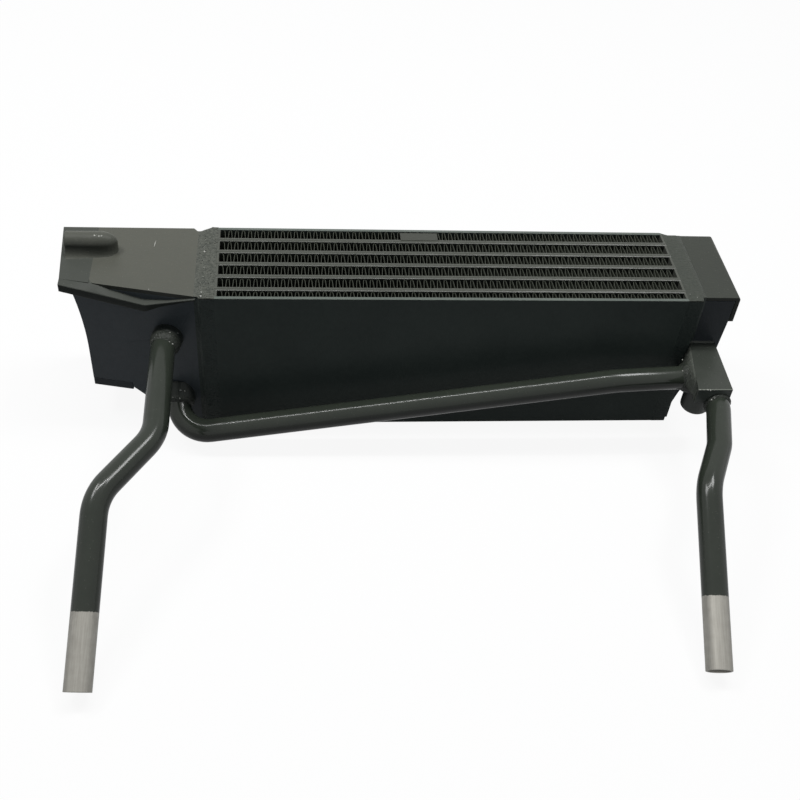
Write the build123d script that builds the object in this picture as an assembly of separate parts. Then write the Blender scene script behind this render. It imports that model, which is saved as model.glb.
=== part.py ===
from build123d import *
from math import atan2, cos, hypot, radians, sin, tan
import os

os.makedirs("parts", exist_ok=True)

# Oil cooler with a brazed bar and plate core, two welded end tanks, an outlet pipe, an inlet
# pipe and a bypass pipe that runs past the core. X runs along the core, Y through its stack of
# rows and Z along the air path. The cooler lies on the back air face of its core, at z = 0,
# and the origin is the middle of that face.

# Core: air rows and oil passages in turn, between two side plates
fin_length = 425.0
core_depth = 155.0
side_plate = 3.5
full_rows = 5
air_row = 13.0
short_row = 7.8
air_fin_pitch = 6.1
air_fin_sheet = 0.25
air_fin_inset = 1.0
end_bar = 16.0
tube_sheet = 0.8
oil_gap = 3.6
oil_bar = 6.0
oil_fin_pitch = 6.0
oil_fin_sheet = 0.4
oil_fin_setback = 4.0

# Blank tag on the farthest air row. It laps over the edge of the first oil passage.
tag_length = 35.5
tag_centre_x = -26.0
tag_far_gap = 3.4
tag_lap = 1.9
tag_sheet = 1.0

# End tanks: folded and welded sheet, set back a little from the outsides of the side plates
tank_setback = 2.0
right_tank_setback = 5.0
tank_sheet = 3.0
cover_sheet = 4.0
left_tank_length = 95.5
left_wall_angle = 11.5
left_flat_bottom = 24.5
left_slope_run = 43.0
left_slope_rise = 34.0
sill_rise = 5.5
cover_corner = 6.0
right_tank_length = 32.4
right_taper_top = 92.0
right_taper_step = 1.9
right_knee_out = 8.0
right_knee_height = 36.0
right_tank_foot = 4.0
flange_sheet = 4.5
flange_drop = 28.6
flange_bend = 3.0

# Mounting bracket at the left: two thick plates, a cranked arm and a round boss
bracket_plate = 8.5
bracket_reach = 32.0
bracket_near_trim = 6.0
wing_reach = 9.4
wing_flare = 8.4
wing_flare_start = 75.0
arm_thick = 8.2
arm_height = 8.0
arm_dip_x = 47.5
arm_dip = 10.0
arm_gap = 11.5
boss_radius = 9.2
boss_length = 45.0
boss_chamfer = 1.5
boss_y = 16.5
boss_overhang = 24.5
boss_weld_leg = 4.0
boss_weld_inner = 2.5
boss_weld_inset = 0.5

# Pipes
pipe_radius = 11.0
pipe_wall = 2.0
pipe_bend = 45.0
exit_bend = 60.0
bypass_bend = 28.0
bypass_sweep = 150.0
pipe_entry = 2.0
exit_run = 18.0
outlet_port_x = 29.5
outlet_port_gap = 18.0
bypass_port_x = 23.0
bypass_port_z = 35.5
collar_radius = 14.0
collar_height = 9.0
port_weld = 2.2
port_weld_top = 0.8

# Routes, chosen by eye, as steps from one corner of the centre line to the next. The outlet's
# steps follow its straight exit, and the inlet's start at the pot's axis. The last run of both
# comes down to the same height above the back face.
outlet_steps = [(-0.6, -94.6, -13.0), (-42.0, -62.4, -4.0)]
outlet_last_run = (-7.4, -131.0)
inlet_steps = [(1.5, -42.0, 0.0), (-12.0, -46.0, -2.0), (-22.7, -46.3, -2.0)]
inlet_last_run = (-13.0, -139.8)
pipe_end_z = 12.0
bypass_first_step = (-2.5, -36.8, -19.5)
bypass_last_step = (86.0, 2.0, 4.0)

# Junction on the right tank: a flat hollow block with a round pot under it
block_top = 101.0
block_height = 16.0
block_wall = 3.0
block_length = 66.0
block_back_x = (1.8, 26.0)
block_front_x = (-8.0, 24.5)
pot_x = 13.0
pot_out = 28.1
pot_radius = 13.5
pot_wall = 3.0
pot_height = 37.5
pot_cap_sheet = 3.5
pot_throat = 9.0
inlet_below_block = 2.0
bypass_below_block = 2.3

# Weld beads round the joints between the core and the tanks
bead_proud = 1.5
bead_on_core = 14.0
bead_on_tank = 4.0
bead_shoulder = 2.5
block_bead = 3.0

# Notches left in the upper far edge where the core welds end: the place of the deepest point
# from the core's end towards the middle, how far it spreads to both sides, the width of its
# flat bottom, and its depth
left_notch = {"at": -3.5, "outer": 5.0, "inner": 10.0, "flat": 3.0, "depth": 4.5}
right_notch = {"at": 4.0, "outer": 8.5, "inner": 7.5, "flat": 9.0, "depth": 3.0}
notch_clear = 12.0

# Worked-out places
passages = full_rows
passage = oil_gap + 2 * tube_sheet
stack = 2 * side_plate + full_rows * air_row + short_row + passages * passage
core_half = fin_length / 2 + end_bar
core_y = stack / 2
tank_y = core_y - tank_setback
right_y = core_y - right_tank_setback
lid_z = core_depth - cover_sheet
left_end = -core_half - left_tank_length
slope_start = -core_half - left_flat_bottom
slope_end = slope_start - left_slope_run
bracket_z = core_depth - bracket_plate
sill_z = left_slope_rise + sill_rise
right_end = core_half + right_tank_length
outlet_port_z = core_depth - arm_dip - arm_height - collar_radius - outlet_port_gap
pipe_bore = pipe_radius - pipe_wall
slant = radians(left_wall_angle)


def block(x0, x1, y0, y1, z0, z1):
    """Box between two corners."""
    return Pos((x0 + x1) / 2, (y0 + y1) / 2, (z0 + z1) / 2) * Box(x1 - x0, y1 - y0, z1 - z0)


def plan(points, z0, z1):
    """Outline in X and Y, carried up from z0 to z1."""
    face = make_face(Polyline([(x, y, z0) for x, y in points], close=True))
    return extrude(face, amount=z1 - z0, dir=(0, 0, 1))


def profile(points, y0, y1):
    """Outline in X and Z, carried along Y from y0 to y1."""
    face = make_face(Polyline([(x, y0, z) for x, z in points], close=True))
    return extrude(face, amount=y1 - y0, dir=(0, 1, 0))


def zigzag(length, height, pitch, sheet):
    """Closed outline of a folded sheet, its crests at half-pitch steps on both long sides."""
    steps = round(2 * length / pitch)
    half = length / steps
    band = sheet * hypot(half, height) / half
    crest = (height - band) / 2
    line = [(-length / 2 + i * half, crest if i % 2 else -crest) for i in range(steps + 1)]
    return ([(a, b + band / 2) for a, b in line]
            + [(a, b - band / 2) for a, b in reversed(line)])


def near_y(x, out=0.0):
    """Y of the left tank's slanted near wall at x, moved outwards by out."""
    return -tank_y + (-core_half - x) * tan(slant) - out / cos(slant)


def near_slab(out0, out1, x0, x1):
    """Upright slab between two distances outside the slanted near wall's outer face."""
    return plan([(x0, near_y(x0, out0)), (x1, near_y(x1, out0)),
                 (x1, near_y(x1, out1)), (x0, near_y(x0, out1))], 0, core_depth)


def tube(points, radii, radius):
    """Round bar along straight runs joined by arcs."""
    path = FilletPolyline(*points, radius=radii)
    return sweep(Plane(origin=path @ 0, z_dir=path % 0) * Circle(radius), path=path)


def notch(side, shape):
    """Groove across the upper far edge, square to the edge's 45-degree bisector."""
    half = shape["flat"] / 2
    middle = side * (core_half - shape["at"])
    outline = [(side * (half + shape["outer"]), 0), (side * half, shape["depth"]),
               (-side * half, shape["depth"]), (-side * (half + shape["inner"]), 0),
               (-side * (half + shape["inner"]), -notch_clear),
               (side * (half + shape["outer"]), -notch_clear)]
    across = Plane(origin=(middle, core_y, core_depth), x_dir=(1, 0, 0), z_dir=(0, 1, -1))
    face = make_face(Polyline([across.from_local_coords((x, y, 0)) for x, y in outline],
                              close=True))
    return extrude(face, amount=2 * notch_clear, dir=across.z_dir, both=True)


left_groove = notch(-1, left_notch)
right_groove = notch(1, right_notch)
grooves = left_groove + right_groove


def save(node, *solids):
    shape = solids[0] if len(solids) == 1 else Compound(children=list(solids))
    export_step(shape, f"parts/{node}.step")


# Side plates close the stack at its far and near ends.
save("side_plate_far",
     block(-core_half, core_half, core_y - side_plate, core_y, 0, core_depth) - grooves)
save("side_plate_near",
     block(-core_half, core_half, -core_y, -core_y + side_plate, 0, core_depth))

# Rows and passages, counted from the far side
top_y = core_y - side_plate
for row in range(1, full_rows + 2):
    height = air_row if row <= full_rows else short_row
    fin = plan(zigzag(fin_length, height, air_fin_pitch, air_fin_sheet),
               air_fin_inset, core_depth - air_fin_inset)
    save(f"air_fin_{row}", Pos(0, top_y - height / 2, 0) * fin)
    save(f"end_bars_{row}",
         block(-core_half, -fin_length / 2, top_y - height, top_y, 0, core_depth) - left_groove,
         block(fin_length / 2, core_half, top_y - height, top_y, 0, core_depth) - right_groove)
    if row == 1:
        save("blank_tag", block(tag_centre_x - tag_length / 2, tag_centre_x + tag_length / 2,
                                top_y - height - tag_lap, top_y - tag_far_gap,
                                core_depth, core_depth + tag_sheet))
    top_y -= height
    if row > passages:
        break
    save(f"tube_sheets_{row}",
         block(-core_half, core_half, top_y - tube_sheet, top_y, 0, core_depth),
         block(-core_half, core_half, top_y - passage, top_y - passage + tube_sheet,
               0, core_depth))
    gap_y1 = top_y - tube_sheet
    gap_y0 = gap_y1 - oil_gap
    save(f"oil_bars_{row}",
         block(-core_half, core_half, gap_y0, gap_y1, 0, oil_bar),
         block(-core_half, core_half, gap_y0, gap_y1, core_depth - oil_bar, core_depth))
    wave = zigzag(core_depth - 2 * oil_bar, oil_gap, oil_fin_pitch, oil_fin_sheet)
    start = -core_half + oil_fin_setback
    face = make_face(Polyline([(start, (gap_y0 + gap_y1) / 2 + b, core_depth / 2 + a)
                               for a, b in wave], close=True))
    save(f"oil_fin_{row}", extrude(face, amount=-2 * start, dir=(1, 0, 0)))
    top_y -= passage

# Left tank: near and far walls share one outline, with a wing that carries the bracket.
wing_x = left_end - wing_reach
wall_edge = [
    Line((-core_half, 0), (slope_start, 0)),
    Line((slope_start, 0), (slope_end, left_slope_rise)),
    Line((slope_end, left_slope_rise), (slope_end, sill_z)),
    Line((slope_end, sill_z), (wing_x, sill_z)),
    Line((wing_x, sill_z), (wing_x, wing_flare_start)),
    TangentArc((wing_x, wing_flare_start), (wing_x - wing_flare, bracket_z), tangent=(0, 1)),
    Line((wing_x - wing_flare, bracket_z), (left_end, bracket_z)),
    Line((left_end, bracket_z), (left_end, lid_z)),
    Line((left_end, lid_z), (-core_half, lid_z)),
    Line((-core_half, lid_z), (-core_half, 0)),
]
wall_face = Plane.XZ * make_face(wall_edge)
wall_prism = extrude(wall_face, amount=core_y, both=True)
outlet_x = -core_half - outlet_port_x
bypass_x = -core_half - bypass_port_x
# The outlet leaves square to the slanted wall, the bypass along its pipe's first run.
outlet_centre = Vector(outlet_x, near_y(outlet_x), outlet_port_z)
outlet_way = Vector(-sin(slant), -cos(slant), 0)
bypass_centre = Vector(bypass_x, near_y(bypass_x), bypass_port_z)
bypass_way = Vector(*bypass_first_step).normalized()
ports = {"outlet": (outlet_centre, outlet_way), "bypass": (bypass_centre, bypass_way)}


def port_round(centre, way, radius, out0, out1):
    """Round bar on a port's axis, between two distances from the port's centre."""
    return extrude(Plane(origin=centre + way * out0, z_dir=way) * Circle(radius),
                   amount=out1 - out0)


near_wall = near_slab(0, -tank_sheet, wing_x - wing_flare, -core_half) & wall_prism
for centre, way in ports.values():
    near_wall -= port_round(centre, way, pipe_radius, -pipe_radius, pipe_radius)
save("left_near_wall", near_wall)
save("left_far_wall",
     (wall_prism & block(wing_x - wing_flare, -core_half, tank_y - tank_sheet, tank_y,
                         0, core_depth)) - left_groove)

inner_plan = [(left_end, near_y(left_end, -tank_sheet)),
              (-core_half, near_y(-core_half, -tank_sheet)),
              (-core_half, tank_y - tank_sheet), (left_end, tank_y - tank_sheet)]
inner_prism = plan(inner_plan, 0, core_depth)
save("left_end_wall", inner_prism & block(left_end, left_end + tank_sheet, -core_y, core_y,
                                          sill_z, lid_z))

slope_angle = atan2(left_slope_rise, left_slope_run)
slope_thick = tank_sheet / cos(slope_angle)
slope_shift = (slope_thick - tank_sheet) / tan(slope_angle)
save("left_floor",
     inner_prism & profile([(-core_half, 0), (slope_start, 0), (slope_end, left_slope_rise),
                            (slope_end, left_slope_rise + slope_thick),
                            (slope_start + slope_shift, tank_sheet), (-core_half, tank_sheet)],
                           -core_y, core_y))

cover = plan([(left_end, near_y(left_end)), (-core_half, near_y(-core_half)),
              (-core_half, tank_y), (left_end, tank_y)], lid_z, core_depth)
corner = cover.edges().filter_by(Axis.Z).sort_by(lambda e: e.center().X + e.center().Y)[0]
save("left_cover", fillet(corner, cover_corner) - left_groove)

# Bracket plates butt against the tank, and the walls' wings stand between them.
bracket_x = left_end - bracket_reach
bracket_near_x = bracket_x + bracket_near_trim
save("upper_bracket",
     plan([(left_end, near_y(left_end)), (bracket_near_x, near_y(bracket_near_x)),
           (bracket_x, tank_y), (left_end, tank_y)], bracket_z, core_depth))
save("lower_bracket",
     plan([(slope_end, near_y(slope_end)), (wing_x, near_y(wing_x)), (wing_x, tank_y),
           (slope_end, tank_y)], sill_z - bracket_plate, sill_z))

arm_end_x = -core_half - arm_gap
dip_x = -core_half - arm_dip_x
arm_line = [(bracket_near_x, core_depth), (dip_x, core_depth - arm_dip),
            (arm_end_x, core_depth)]
arm_profile = arm_line + [(x, z - arm_height) for x, z in reversed(arm_line)]
save("bracket_arm", near_slab(arm_thick, 0, bracket_near_x, arm_end_x)
     & profile(arm_profile, -core_y - 2 * arm_thick, 0))

boss_z = core_depth + boss_radius
boss_x = left_end - boss_overhang
boss = extrude(Plane(origin=(boss_x, boss_y, boss_z), z_dir=(1, 0, 0)) * Circle(boss_radius),
               amount=boss_length)
boss = chamfer(boss.faces().sort_by(Axis.X)[-1].edges(), boss_chamfer)
save("boss", boss)
weld_out = boss_radius - boss_weld_inset
boss_welds = []
for y0, y1 in ((boss_y - weld_out, boss_y - boss_weld_inner),
               (boss_y + boss_weld_inner, boss_y + weld_out)):
    strip = block(boss_x + boss_chamfer, boss_x + boss_length - 2 * boss_chamfer, y0, y1,
                  core_depth, core_depth + boss_weld_leg)
    boss_welds.append(strip - boss)
save("boss_weld", *boss_welds)

# Right tank: a folded cover over a tapered shell
knee_x = core_half + right_knee_out
shell_x = right_end
shell_outline = [(shell_x, lid_z), (shell_x, core_depth - flange_drop),
                 (shell_x - right_taper_step, right_taper_top), (knee_x, right_knee_height),
                 (core_half, right_tank_foot)]
shell_points = [(core_half, lid_z)] + shell_outline
shell = profile(shell_points, -core_y, core_y)
moved = Pos(-tank_sheet, 0, 0) * profile(
    [(core_half - tank_sheet, lid_z)] + shell_outline
    + [(core_half - tank_sheet, right_tank_foot)], -core_y, core_y)
inner_y = right_y - tank_sheet
save("right_end_wall", (shell - moved) & block(core_half, shell_x, -inner_y, inner_y,
                                               0, core_depth))
block_z0 = block_top - block_height
back_x = [core_half + x for x in block_back_x]
front_x = [core_half + x for x in block_front_x]
window = block(back_x[0] + block_wall, back_x[1] - block_wall,
               -right_y - tank_sheet, -inner_y + tank_sheet,
               block_z0 + block_wall, block_top - block_wall)
save("right_near_wall",
     (shell & block(core_half, shell_x, -right_y, -inner_y, 0, core_depth)) - window)
save("right_far_wall",
     (shell & block(core_half, shell_x, inner_y, right_y, 0, core_depth)) - right_groove)

flange_x = shell_x + flange_sheet
folded = profile([(core_half, lid_z), (shell_x, lid_z), (shell_x, core_depth - flange_drop),
                  (flange_x, core_depth - flange_drop), (flange_x, core_depth),
                  (core_half, core_depth)], -right_y, right_y)
fold = folded.edges().filter_by(Axis.Y).sort_by(lambda e: e.center().X + e.center().Z)[-1]
save("right_cover", fillet(fold, flange_bend) - right_groove)

# Junction block: hollow, open to the tank through its back and to the pot through its floor
front_y = -right_y - block_length
block_solid = plan([(back_x[0], -right_y), (front_x[0], front_y), (front_x[1], front_y),
                    (back_x[1], -right_y)], block_z0, block_top)
channel = plan([(back_x[0] + block_wall, -right_y),
                (front_x[0] + block_wall, front_y + block_wall),
                (front_x[1] - block_wall, front_y + block_wall),
                (back_x[1] - block_wall, -right_y)],
               block_z0 + block_wall, block_top - block_wall)
pot_axis = Vector(core_half + pot_x, -right_y - pot_out, block_z0)
pot_middle = Pos(pot_axis.X, pot_axis.Y, block_z0 - pot_height / 2)
pot_solid = pot_middle * Cylinder(pot_radius, pot_height)
pot_room = pot_middle * Cylinder(pot_radius - pot_wall, pot_height)
throat = Pos(*pot_axis) * Cylinder(pot_throat, 2 * block_wall)
junction = block_solid + pot_solid


def corners(start, steps, last_run):
    """Corners of a hose pipe's centre line: its start, then the steps, then the last run."""
    points = [start]
    for step in steps:
        points.append(points[-1] + Vector(*step))
    x, y = last_run
    return points + [Vector(points[-1].X + x, points[-1].Y + y, pipe_end_z)]


inlet_points = corners(pot_axis - Vector(0, 0, inlet_below_block), inlet_steps, inlet_last_run)
inlet_radii = [pipe_bend] * (len(inlet_points) - 2)
inlet_core = tube(inlet_points, inlet_radii, pipe_bore)
bypass_end = pot_axis - Vector(0, 0, bypass_below_block)
bypass_points = [bypass_centre - bypass_way * (tank_sheet + pipe_entry),
                 bypass_centre + Vector(*bypass_first_step),
                 bypass_end - Vector(*bypass_last_step), bypass_end]
bypass_radii = [bypass_bend, bypass_sweep]
bypass_core = tube(bypass_points, bypass_radii, pipe_bore)
bypass_round = tube(bypass_points, bypass_radii, pipe_radius)
outlet_exit = outlet_centre + outlet_way * exit_run
outlet_points = [outlet_centre - outlet_way * (tank_sheet + pipe_entry)]
outlet_points += corners(outlet_exit, outlet_steps, outlet_last_run)
outlet_radii = [exit_bend] + [pipe_bend] * (len(outlet_points) - 3)

save("junction_block", block_solid - channel - (throat & block_solid) - inlet_core)
save("junction_pot", pot_solid - pot_room - bypass_core - inlet_core)
save("pot_cap", Pos(pot_axis.X, pot_axis.Y, block_z0 - pot_height - pot_cap_sheet / 2)
     * Cylinder(pot_radius, pot_cap_sheet))

# Pipes: the inlet and the bypass are trimmed where they meet the block and the pot.
save("inlet_pipe", tube(inlet_points, inlet_radii, pipe_radius) - junction - bypass_round
     - inlet_core)
save("bypass_pipe", bypass_round - junction - bypass_core)
save("outlet_pipe", tube(outlet_points, outlet_radii, pipe_radius)
     - tube(outlet_points, outlet_radii, pipe_bore))

# Collars reinforce the two ports. Each has a weld bead round its mouth.
inside = near_slab(0, -2 * collar_radius, left_end, 0)
for name, (centre, way) in ports.items():
    save(f"{name}_collar", port_round(centre, way, collar_radius, -collar_height, collar_height)
         - port_round(centre, way, pipe_radius, -2 * collar_height, 2 * collar_height) - inside)
    mouth = Plane(origin=centre + way * collar_height, z_dir=way)
    ring = loft([mouth * Circle(pipe_radius + port_weld),
                 mouth.offset(port_weld) * Circle(pipe_radius + port_weld_top)])
    pipe_room = port_round(centre, way, pipe_radius, 0, 2 * collar_height)
    save(f"{name}_weld", ring - pipe_room - bypass_round)

# Beads where the tanks meet the core: up the near side, over the top and down the far side


def side_bead(side, face_y, wall):
    """Upright bead: its outline runs from the core's face out, over and back to the tank."""
    end_x = side * core_half
    tank_x = end_x + side * bead_on_tank
    outer = core_y + bead_proud
    sign = 1 if face_y > 0 else -1
    return plan([(end_x - side * bead_on_core, face_y),
                 (end_x - side * (bead_on_core - bead_shoulder), sign * outer),
                 (end_x + side * bead_shoulder, sign * outer),
                 (tank_x, wall(tank_x)), (end_x, wall(end_x)), (end_x, face_y)],
                0, core_depth + bead_proud)


def top_bead(side):
    """Bead across the top face, as long as the stack is thick."""
    end_x = side * core_half
    return profile([(end_x - side * bead_on_core, core_depth),
                    (end_x - side * (bead_on_core - bead_shoulder), core_depth + bead_proud),
                    (end_x + side * (bead_on_tank - bead_shoulder), core_depth + bead_proud),
                    (end_x + side * bead_on_tank, core_depth)], -core_y, core_y)


save("left_core_weld", side_bead(-1, -core_y, near_y) + side_bead(-1, core_y, lambda x: tank_y)
     + top_bead(-1) - left_groove
     - port_round(*ports["bypass"], collar_radius, -collar_height, collar_height))
save("right_core_weld", side_bead(1, -core_y, lambda x: -right_y)
     + side_bead(1, core_y, lambda x: right_y) + top_bead(1) - right_groove - block_solid)
bead_start = core_half + bead_on_tank
save("block_weld",
     extrude(make_face(Polyline([(bead_start, -right_y, block_top),
                                 (bead_start, -right_y - block_bead, block_top),
                                 (bead_start, -right_y, block_top + block_bead)],
                                close=True)),
             amount=back_x[1] - bead_start, dir=(1, 0, 0)))
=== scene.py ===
import bpy
import numpy as np
from math import cos, pi, radians, sin, tan
from mathutils import Matrix, Vector


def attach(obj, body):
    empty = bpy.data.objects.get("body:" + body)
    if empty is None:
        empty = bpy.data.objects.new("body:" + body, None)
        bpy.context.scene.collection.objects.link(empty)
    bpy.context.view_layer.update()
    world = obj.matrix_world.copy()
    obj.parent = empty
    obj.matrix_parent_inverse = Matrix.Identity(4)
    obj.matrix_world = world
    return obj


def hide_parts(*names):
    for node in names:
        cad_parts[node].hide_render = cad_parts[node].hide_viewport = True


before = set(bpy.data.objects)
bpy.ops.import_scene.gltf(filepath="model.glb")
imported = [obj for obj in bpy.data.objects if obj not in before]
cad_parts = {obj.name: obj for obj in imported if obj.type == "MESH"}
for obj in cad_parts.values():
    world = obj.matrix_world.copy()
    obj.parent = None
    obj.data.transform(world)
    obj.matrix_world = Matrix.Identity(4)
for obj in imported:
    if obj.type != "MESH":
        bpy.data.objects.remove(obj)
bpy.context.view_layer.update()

# ---- Core plates and bars ------------------------------------------------------------------
# Two side plates, the bars that close the ends of each row, and the sheets and bars of the oil
# passages. They are brazed aluminium under one coat of sprayed satin paint, dark grey green.
CORE_HALF = 228.5
CORE_Y = 52.9
CORE_DEPTH = 155.0
ROWS = 6
PASSAGES = ROWS - 1
FACE_TONE = (0.094, 0.098, 0.083)
FACE_DEEP = (0.078, 0.083, 0.072)
# The side plates' tones are lighter than the air face's: painted light that lifts the dim faces
# towards the viewer.
SIDE_TONE = (0.158, 0.181, 0.160)
SIDE_DEEP = (0.122, 0.141, 0.126)


def node_group(name, inputs, outputs):
    """An empty shader node group with its named sockets, and its tree's input and output."""
    tree = bpy.data.node_groups.new(name, "ShaderNodeTree")
    for way, sockets in (("INPUT", inputs), ("OUTPUT", outputs)):
        for socket, kind in sockets.items():
            tree.interface.new_socket(socket, in_out=way, socket_type="NodeSocket" + kind)
    return tree, tree.nodes.new("NodeGroupInput"), tree.nodes.new("NodeGroupOutput")


def noise(tree, place, scale, detail=2.0, rough=0.5):
    """Noise texture of so many lumps per metre, read at a place."""
    node = tree.nodes.new("ShaderNodeTexNoise")
    node.inputs["Scale"].default_value = scale
    node.inputs["Detail"].default_value = detail
    node.inputs["Roughness"].default_value = rough
    tree.links.new(place, node.inputs["Vector"])
    return node.outputs["Fac"]


def remap(tree, value, low, high, to_low=0.0, to_high=1.0):
    """Carries low..high to to_low..to_high, held at both ends."""
    node = tree.nodes.new("ShaderNodeMapRange")
    tree.links.new(value, node.inputs["Value"])
    for socket, number in zip(("From Min", "From Max", "To Min", "To Max"),
                              (low, high, to_low, to_high)):
        if isinstance(number, bpy.types.NodeSocket):
            tree.links.new(number, node.inputs[socket])
        else:
            node.inputs[socket].default_value = number
    return node.outputs["Result"]


def blend_tones(tree, mask, first, second):
    """Mixes two colours by a mask. Each is a socket or three numbers."""
    node = tree.nodes.new("ShaderNodeMix")
    node.data_type = "RGBA"
    tree.links.new(mask, node.inputs[0])
    for socket, tone in ((node.inputs[6], first), (node.inputs[7], second)):
        if isinstance(tone, bpy.types.NodeSocket):
            tree.links.new(tone, socket)
        else:
            socket.default_value = (*tone, 1.0)
    return node.outputs[2]


def compute(tree, operation, first, second):
    """One Math node on two sockets or numbers."""
    node = tree.nodes.new("ShaderNodeMath")
    node.operation = operation
    for socket, value in zip(node.inputs, (first, second)):
        if isinstance(value, bpy.types.NodeSocket):
            tree.links.new(value, socket)
        else:
            socket.default_value = value
    return node.outputs[0]


# Sprayed paint: broad clouds of tone, small mottle, dust under the film and orange peel
paint_skin, coat_in, coat_out = node_group(
    "sprayed_paint",
    {"Place": "Vector", "Tone": "Color", "Deep": "Color", "Cloud": "Float", "Peel": "Float",
     "Dust": "Float", "Rough Low": "Float", "Rough High": "Float"},
    {"Color": "Color", "Roughness": "Float", "Height": "Float"})
place = coat_in.outputs["Place"]
clouds = remap(paint_skin, noise(paint_skin, place, 11.0, 3.0), 0.32, 0.68)
mottle = noise(paint_skin, place, 170.0, 4.0, 0.6)
shade = compute(paint_skin, "MULTIPLY", clouds, coat_in.outputs["Cloud"])
shade = compute(paint_skin, "ADD", shade, remap(paint_skin, mottle, 0.35, 0.7, 0.0, 0.35))
paint_tone = blend_tones(paint_skin, shade, coat_in.outputs["Tone"], coat_in.outputs["Deep"])
grain = paint_skin.nodes.new("ShaderNodeTexVoronoi")
grain.inputs["Scale"].default_value = 240.0
paint_skin.links.new(place, grain.inputs["Vector"])
speck = remap(paint_skin, grain.outputs["Distance"], 0.05, 0.12, 1.0, 0.0)
speck = compute(paint_skin, "MULTIPLY", speck, coat_in.outputs["Dust"])
paint_skin.links.new(blend_tones(paint_skin, compute(paint_skin, "MULTIPLY", speck, 0.35),
                                 paint_tone, (0.20, 0.20, 0.18)), coat_out.inputs["Color"])
paint_skin.links.new(remap(paint_skin, noise(paint_skin, place, 60.0, 3.0), 0.3, 0.7,
                           coat_in.outputs["Rough Low"], coat_in.outputs["Rough High"]),
                     coat_out.inputs["Roughness"])
peel = compute(paint_skin, "MULTIPLY", noise(paint_skin, place, 520.0, 1.5),
               coat_in.outputs["Peel"])
paint_skin.links.new(compute(paint_skin, "ADD", peel, compute(paint_skin, "MULTIPLY", speck, 0.5)),
                     coat_out.inputs["Height"])


def new_material(name, specular):
    """A material with one Principled shader, its specular level set on the shader itself."""
    material = bpy.data.materials.new(name)
    material.use_nodes = True
    shader = material.node_tree.nodes["Principled BSDF"]
    shader.inputs["Specular IOR Level"].default_value = specular
    return material, material.node_tree, shader


def placed_group(tree, group, place, **values):
    """Puts a node group into a material, fed with a place and the material's own values."""
    node = tree.nodes.new("ShaderNodeGroup")
    node.node_tree = group
    tree.links.new(place, node.inputs["Place"])
    for socket, value in values.items():
        node.inputs[socket.replace("_", " ")].default_value = (
            (*value, 1.0) if isinstance(value, tuple) else value)
    return node


def object_place(tree):
    """The Object coordinates of the piece that carries the material."""
    return tree.nodes.new("ShaderNodeTexCoord").outputs["Object"]


def bump(tree, shader, height, distance, strength=1.0):
    """Feeds a height through a Bump node into the shader's normal. The distance is in metres."""
    node = tree.nodes.new("ShaderNodeBump")
    node.inputs["Strength"].default_value = strength
    node.inputs["Distance"].default_value = distance
    tree.links.new(height, node.inputs["Height"])
    tree.links.new(node.outputs["Normal"], shader.inputs["Normal"])


def painted(name, tone, deep, cloud=0.8, peel=1.0, dust=1.0, rough=(0.32, 0.42), specular=0.15):
    """A sprayed finish for one group of pieces."""
    material, tree, shader = new_material(name, specular)
    skin_node = placed_group(tree, paint_skin, object_place(tree), Tone=tone, Deep=deep,
                             Cloud=cloud, Peel=peel, Dust=dust, Rough_Low=rough[0],
                             Rough_High=rough[1])
    tree.links.new(skin_node.outputs["Color"], shader.inputs["Base Color"])
    tree.links.new(skin_node.outputs["Roughness"], shader.inputs["Roughness"])
    bump(tree, shader, skin_node.outputs["Height"], 0.00012)
    return material


def soften(names, material, edge, turn=30.0):
    """Finishes CAD solids: Weld joins their loose triangles, then Bevel rounds every edge that
    turns by more than so many degrees, edge millimetres back. Flush faces keep sharp edges."""
    for name in names:
        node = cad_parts[name]
        for slot in node.material_slots:
            slot.material = material
        if not edge:
            continue
        weld = node.modifiers.new("join", "WELD")
        weld.merge_threshold = 0.00001
        bevel = node.modifiers.new("edge", "BEVEL")
        bevel.width = edge * 0.001
        bevel.segments = 2
        bevel.limit_method = "ANGLE"
        bevel.angle_limit = radians(turn)
        bevel.use_clamp_overlap = True


face_paint = painted("core_face_paint", FACE_TONE, FACE_DEEP)
# The side plates take the lighter side tones, painted light.
side_paint = painted("side_plate_paint", SIDE_TONE, SIDE_DEEP, cloud=1.0, specular=0.09)
soften(["side_plate_far", "side_plate_near"], side_paint, 0.5)
soften([f"{kind}_{row}" for kind in ("tube_sheets", "oil_bars")
        for row in range(1, PASSAGES + 1)], face_paint, 0)
soften([f"end_bars_{row}" for row in range(1, ROWS + 1)], face_paint, 0)

# ---- Air fins -----------------------------------------------------------------------------
# Six folded strips of thin aluminium sheet, brazed between the rows' sheets and painted with
# them. Each is one wave carried through the depth of the core. The nearest row is lower than the
# others. Deeper in the core their colour darkens to near black: painted shade in the gaps.
FIN_LENGTH = 419.0
FIN_HALVES = 137
FIN_SHEET = 0.46
FIN_INSET = 1.0
FIN_STEPS = 10
FIN_SQUARE = 2.6
FIN_SHADE_DEPTH = (0.130, 0.1535)
SIDE_SHEET, ROW_HEIGHT, PASSAGE_HEIGHT = 3.5, 13.0, 5.2
ROW_FAR = CORE_Y - SIDE_SHEET
ROW_TOPS = [ROW_FAR - row * (ROW_HEIGHT + PASSAGE_HEIGHT) for row in range(ROWS)]


def outward(points, faces):
    """Turns every face round if the closed mesh has a negative volume, which is the sum over
    its triangles of p0 . (p1 x p2) / 6."""
    fans = [np.array([(face[0], b, c) for b, c in zip(face[1:-1], face[2:])]) for face in faces]
    corners = points[np.concatenate(fans)]
    volume = np.einsum("ij,ij->", corners[:, 0], np.cross(corners[:, 1], corners[:, 2]))
    return [face[::-1] for face in faces] if volume < 0 else faces


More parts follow.
